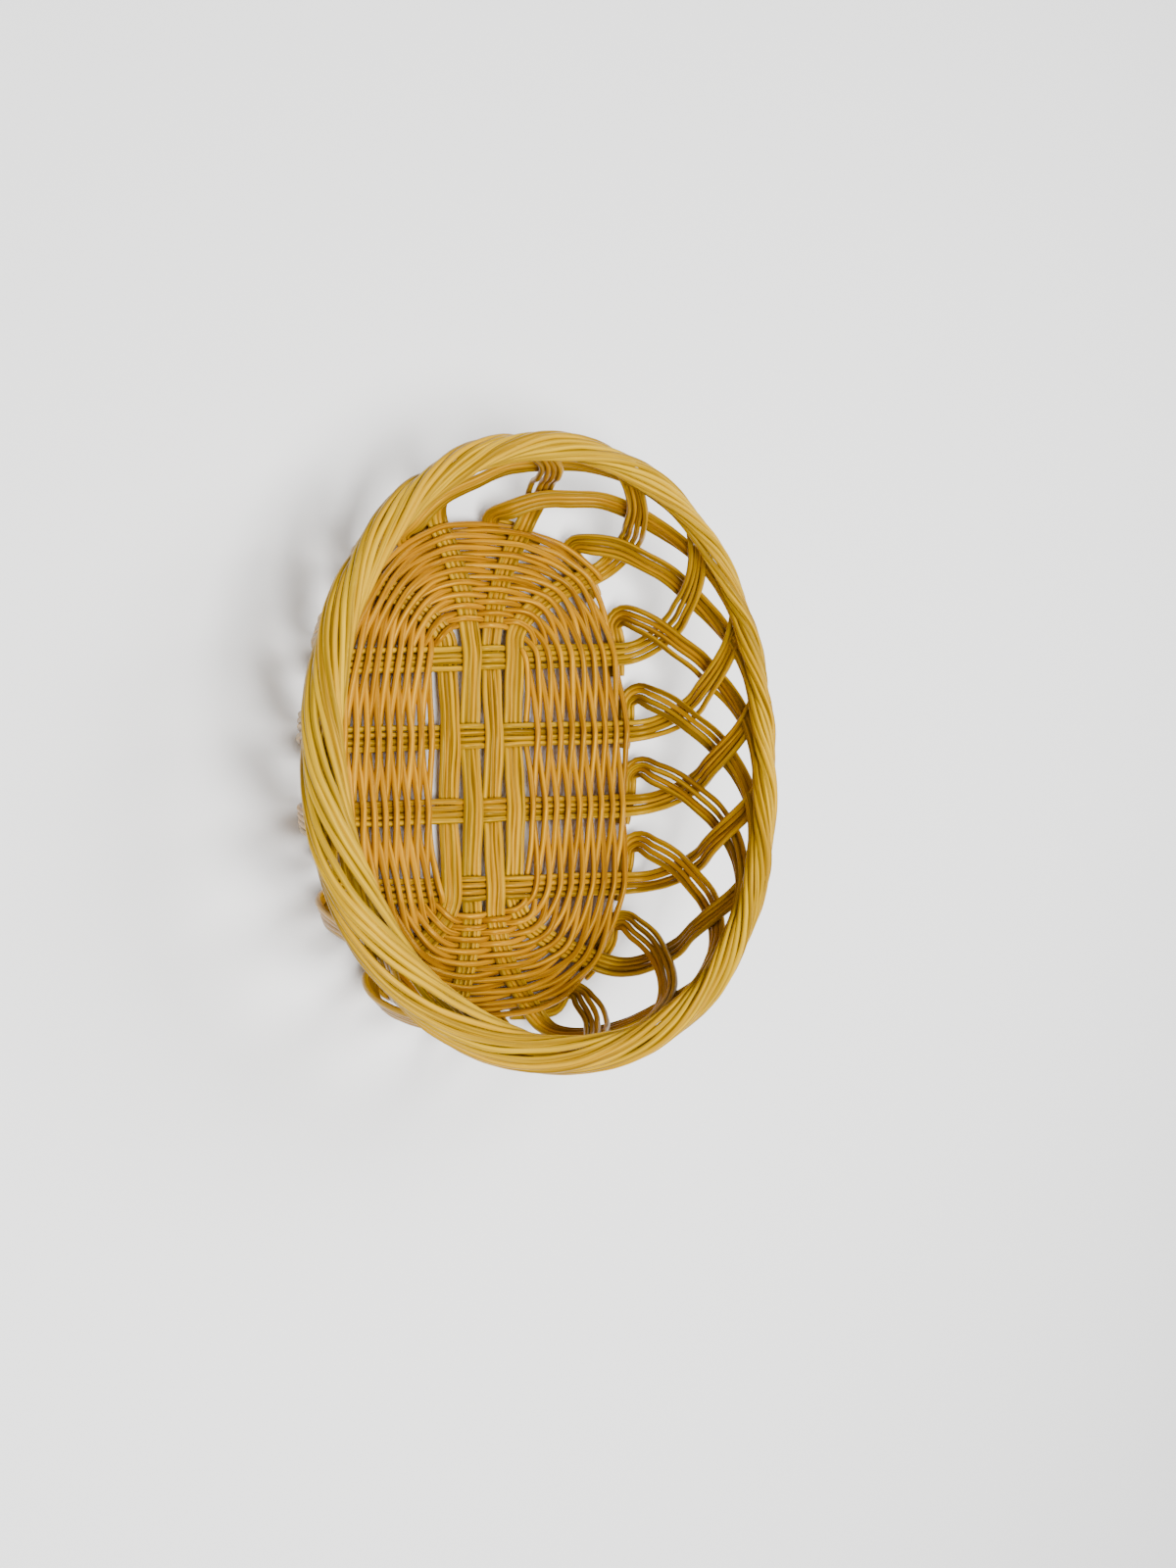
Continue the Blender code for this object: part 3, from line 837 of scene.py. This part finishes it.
def grey(value):
    return (value,) * 3


def reed(name, dark, light, warm, gloss, shine):
    """Varnished peeled rod: lengthwise fibres and streaks, patches and pale marks."""
    material = bpy.data.materials.new(name)
    material.use_nodes = True
    tree = material.node_tree
    nodes = tree.nodes
    shader = nodes["Principled BSDF"]
    grain = nodes.new("ShaderNodeAttribute")
    grain.attribute_name = "grain"
    tint = nodes.new("ShaderNodeAttribute")
    tint.attribute_name = "tint"

    def noise(scale, detail, rough=0.55):
        mapping = nodes.new("ShaderNodeMapping")
        mapping.inputs["Scale"].default_value = scale
        link(tree, grain.outputs["Vector"], mapping.inputs["Vector"])
        texture = nodes.new("ShaderNodeTexNoise")
        texture.inputs["Scale"].default_value = 1.0
        texture.inputs["Detail"].default_value = detail
        texture.inputs["Roughness"].default_value = rough
        link(tree, mapping.outputs["Vector"], texture.inputs["Vector"])
        return texture.outputs["Fac"]

    def ramp(source, stops):
        node = nodes.new("ShaderNodeValToRGB")
        for i, (place, colour) in enumerate(stops):
            stop = node.color_ramp.elements[i] if i < 2 else node.color_ramp.elements.new(place)
            stop.position = place
            stop.color = (*colour, 1.0)
        link(tree, source, node.inputs["Fac"])
        return node.outputs["Color"]

    def mix(kind, factor, a, b):
        node = nodes.new("ShaderNodeMix")
        node.data_type = "RGBA"
        node.blend_type = kind
        for value, socket in ((factor, node.inputs[0]), (a, node.inputs[6]), (b, node.inputs[7])):
            if isinstance(value, (int, float)):
                socket.default_value = value
            elif isinstance(value, tuple):
                socket.default_value = (*value, 1.0)
            else:
                link(tree, value, socket)
        return node.outputs[2]

    fibres = noise(*FIBRES)
    streaks = noise(*STREAKS)
    patches = noise(*PATCHES)
    marks = noise(*MARKS)
    base = mix("MIX", tint.outputs["Fac"], light, warm)
    base = mix("MIX", ramp(streaks, [(0.38, grey(DARK_SHARE)), (0.58, grey(0.0))]), base, dark)
    base = mix("MULTIPLY", 0.5, base, ramp(fibres, [(0.3, grey(0.72)), (0.6, grey(1.06))]))
    base = mix("MULTIPLY", 0.6, base, ramp(patches, [(0.35, DULL_PATCH), (0.62, grey(1.05))]))
    base = mix("MIX", ramp(marks, [(0.67, grey(0.0)), (0.76, grey(0.35))]), base, PALE_MARK)
    link(tree, base, shader.inputs["Base Color"])
    rough = nodes.new("ShaderNodeMapRange")
    rough.inputs["To Min"].default_value = gloss
    rough.inputs["To Max"].default_value = gloss + GLOSS_RANGE
    link(tree, patches, rough.inputs["Value"])
    link(tree, rough.outputs["Result"], shader.inputs["Roughness"])
    shader.inputs["Specular Tint"].default_value = (*SHINE_TINT, 1.0)
    shader.inputs["Specular IOR Level"].default_value = shine
    bump = nodes.new("ShaderNodeBump")
    bump.inputs["Strength"].default_value = BUMP_STRENGTH
    bump.inputs["Distance"].default_value = BUMP_DEPTH
    relief = [(0.3, grey(0.0)), (0.7, grey(1.0))]
    height = mix("ADD", 0.6, ramp(streaks, relief), ramp(fibres, relief))
    link(tree, height, bump.inputs["Height"])
    link(tree, bump.outputs["Normal"], shader.inputs["Normal"])
    return material


def plain(name, colour, rough):
    material = bpy.data.materials.new(name)
    material.use_nodes = True
    shader = material.node_tree.nodes["Principled BSDF"]
    shader.inputs["Base Color"].default_value = (*colour, 1.0)
    shader.inputs["Roughness"].default_value = rough
    return material


# ---------------------------------------------------------------- studio

def studio():
    bpy.ops.mesh.primitive_plane_add(size=GROUND_SIZE, location=(0.0, 0.0, 0.0))
    ground = bpy.context.object
    ground.name = "ground"
    ground.data.materials.append(plain("pale_ground", GROUND_COLOUR, GROUND_ROUGH))
    world = bpy.data.worlds.new("soft_white")
    world.use_nodes = True
    background = world.node_tree.nodes["Background"]
    background.inputs["Color"].default_value = (*WORLD_COLOUR, 1.0)
    background.inputs["Strength"].default_value = WORLD_STRENGTH
    bpy.context.scene.world = world
    for name, place, size, power in LAMPS:
        data = bpy.data.lights.new(name, "AREA")
        data.size = size
        data.energy = power
        lamp = bpy.data.objects.new(name, data)
        lamp.location = place
        lamp.rotation_euler = (Vector(LAMP_AIM) - Vector(place)).to_track_quat("-Z", "Y").to_euler()
        bpy.context.scene.collection.objects.link(lamp)


def camera():
    data = bpy.data.cameras.new("camera")
    data.sensor_fit = "AUTO"
    data.sensor_width = CAMERA_SENSOR
    data.lens = CAMERA_LENS
    data.clip_start = CAMERA_NEAR
    flat = cos(CAMERA_ELEVATION)
    back = Vector((sin(CAMERA_AZIMUTH) * flat, -cos(CAMERA_AZIMUTH) * flat, sin(CAMERA_ELEVATION)))
    right = Vector((cos(CAMERA_AZIMUTH), sin(CAMERA_AZIMUTH), 0.0))
    up = back.cross(right)
    turn = Matrix.Identity(3)
    turn.col[0] = right * cos(CAMERA_ROLL) + up * sin(CAMERA_ROLL)
    turn.col[1] = up * cos(CAMERA_ROLL) - right * sin(CAMERA_ROLL)
    turn.col[2] = back
    thing = bpy.data.objects.new("camera", data)
    thing.rotation_euler = turn.to_euler()
    thing.location = CAMERA_AIM + back * CAMERA_AWAY
    bpy.context.scene.collection.objects.link(thing)
    bpy.context.scene.camera = thing


def reeds():
    """Materials by slot: frame and rim of the same rods, the rim painted paler for the light on the
    basket's top and the frame painted darker as shade; the weavers warmer.
    """
    return {
        # One varnish in two copies: the frame's is darkened as painted shade, the rim's is
        # lightened as painted light on the top.
        "frame_reed": reed("varnished_frame_reed", dark=(0.10, 0.048, 0.0),
                           light=(0.48, 0.268, 0.0), warm=(0.43, 0.195, 0.0),
                           gloss=0.24, shine=0.35),
        "rim_reed": reed("varnished_rim_reed", dark=(0.15, 0.075, 0.0),
                         light=(0.55, 0.335, 0.0), warm=(0.50, 0.270, 0.0),
                         gloss=0.26, shine=0.25),
        "weaver_reed": reed("varnished_weaver_reed", dark=(0.17, 0.058, 0.0),
                            light=(0.51, 0.245, 0.0), warm=(0.46, 0.180, 0.0),
                            gloss=0.18, shine=0.35)}


def main():
    """Stakes 1 to 4 are on the far side, 5 to 8 at +X, 9 to 12 near and 13 to 16 at -X."""
    materials = reeds()
    for i in range(4):
        cross = floor_keys(f"cross_bundle_{i + 1}", cross_line(i), CROSS_SPACING, CROSS_LOOSE)
        bundle(cross, (12 - i, 1 + i), materials)
        long = floor_keys(f"long_bundle_{i + 1}", long_line(i), LONG_SPACING, LONG_LOOSE)
        bundle(long, (13 + i, 8 - i), materials)
    weaver("weaver_1", 0.0, 1, materials["weaver_reed"])
    weaver("weaver_2", 0.5, -1, materials["weaver_reed"])
    studio()
    camera()


main()
